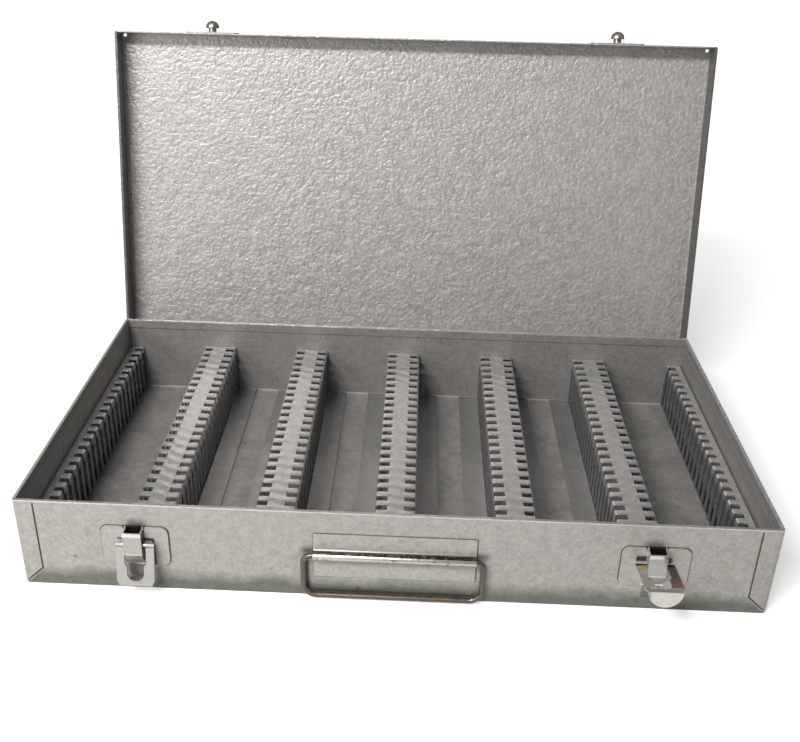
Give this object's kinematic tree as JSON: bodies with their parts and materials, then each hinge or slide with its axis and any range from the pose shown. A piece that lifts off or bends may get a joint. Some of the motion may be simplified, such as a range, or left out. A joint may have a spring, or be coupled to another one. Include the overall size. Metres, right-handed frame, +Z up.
{
  "type": "slide storage case",
  "caption": "Folded sheet steel case with a hinged lid, slotted dividers for upright slide mounts, snap loop catches and a wire bail handle.",
  "frame": {"origin": "centre of the tray's underside", "axes": "+X along the width, to the right as seen from the catches; +Y to the back, where the lid is hinged; +Z up"},
  "size_m": [0.3738, 0.2775, 0.238],
  "materials": {
    "case_paint": "grey hammertone enamel, worn, semi-gloss",
    "lid_paint": "grey hammertone enamel, semi-gloss",
    "divider_paint": "grey hammertone enamel, semi-gloss",
    "plated_steel": "dull plated sheet steel, lightly stained",
    "worn_steel": "worn steel with brown rust specks"
  },
  "bodies": {
    "tray": {"base_tray": "case_paint", "divider_1": "divider_paint", "divider_2": "divider_paint", "divider_3": "divider_paint", "divider_4": "divider_paint", "divider_5": "divider_paint", "side_divider_left": "divider_paint", "side_divider_right": "divider_paint", "handle_bracket": "plated_steel", "catch_plate_left": "plated_steel", "catch_plate_right": "plated_steel", "hinge_base_leaf_left": "plated_steel", "hinge_base_leaf_right": "plated_steel", "hinge_pin_left": "worn_steel", "hinge_pin_right": "worn_steel"},
    "lid": {"lid_pan": "lid_paint", "stud_plate_left": "plated_steel", "stud_plate_right": "plated_steel", "lid_stud_left": "plated_steel", "lid_stud_right": "plated_steel", "hinge_lid_leaf_left": "plated_steel", "hinge_lid_leaf_right": "plated_steel"},
    "handle": {"handle_bail": "worn_steel"},
    "left_catch": {"catch_loop_left": "worn_steel"},
    "right_catch": {"catch_loop_right": "worn_steel"}
  },
  "joints": [
    {"name": "lid_hinge", "type": "hinge", "parent": "tray", "child": "lid", "pos_m": [0, 0.0995, 0.0384], "axis": [1, 0, 0], "range_deg": [0, 101.5]},
    {"name": "handle_swing", "type": "hinge", "parent": "tray", "child": "handle", "pos_m": [0, -0.0987, 0.0271], "axis": [-1, 0, 0], "range_deg": [0, 165]},
    {"name": "left_catch_swing", "type": "hinge", "parent": "tray", "child": "left_catch", "pos_m": [-0.1265, -0.0999, 0.0306], "axis": [-1, 0, 0], "range_deg": [0, 167.5]},
    {"name": "right_catch_swing", "type": "hinge", "parent": "tray", "child": "right_catch", "pos_m": [0.1265, -0.0999, 0.0306], "axis": [-1, 0, 0], "range_deg": [-86, 81.5]}
  ]
}
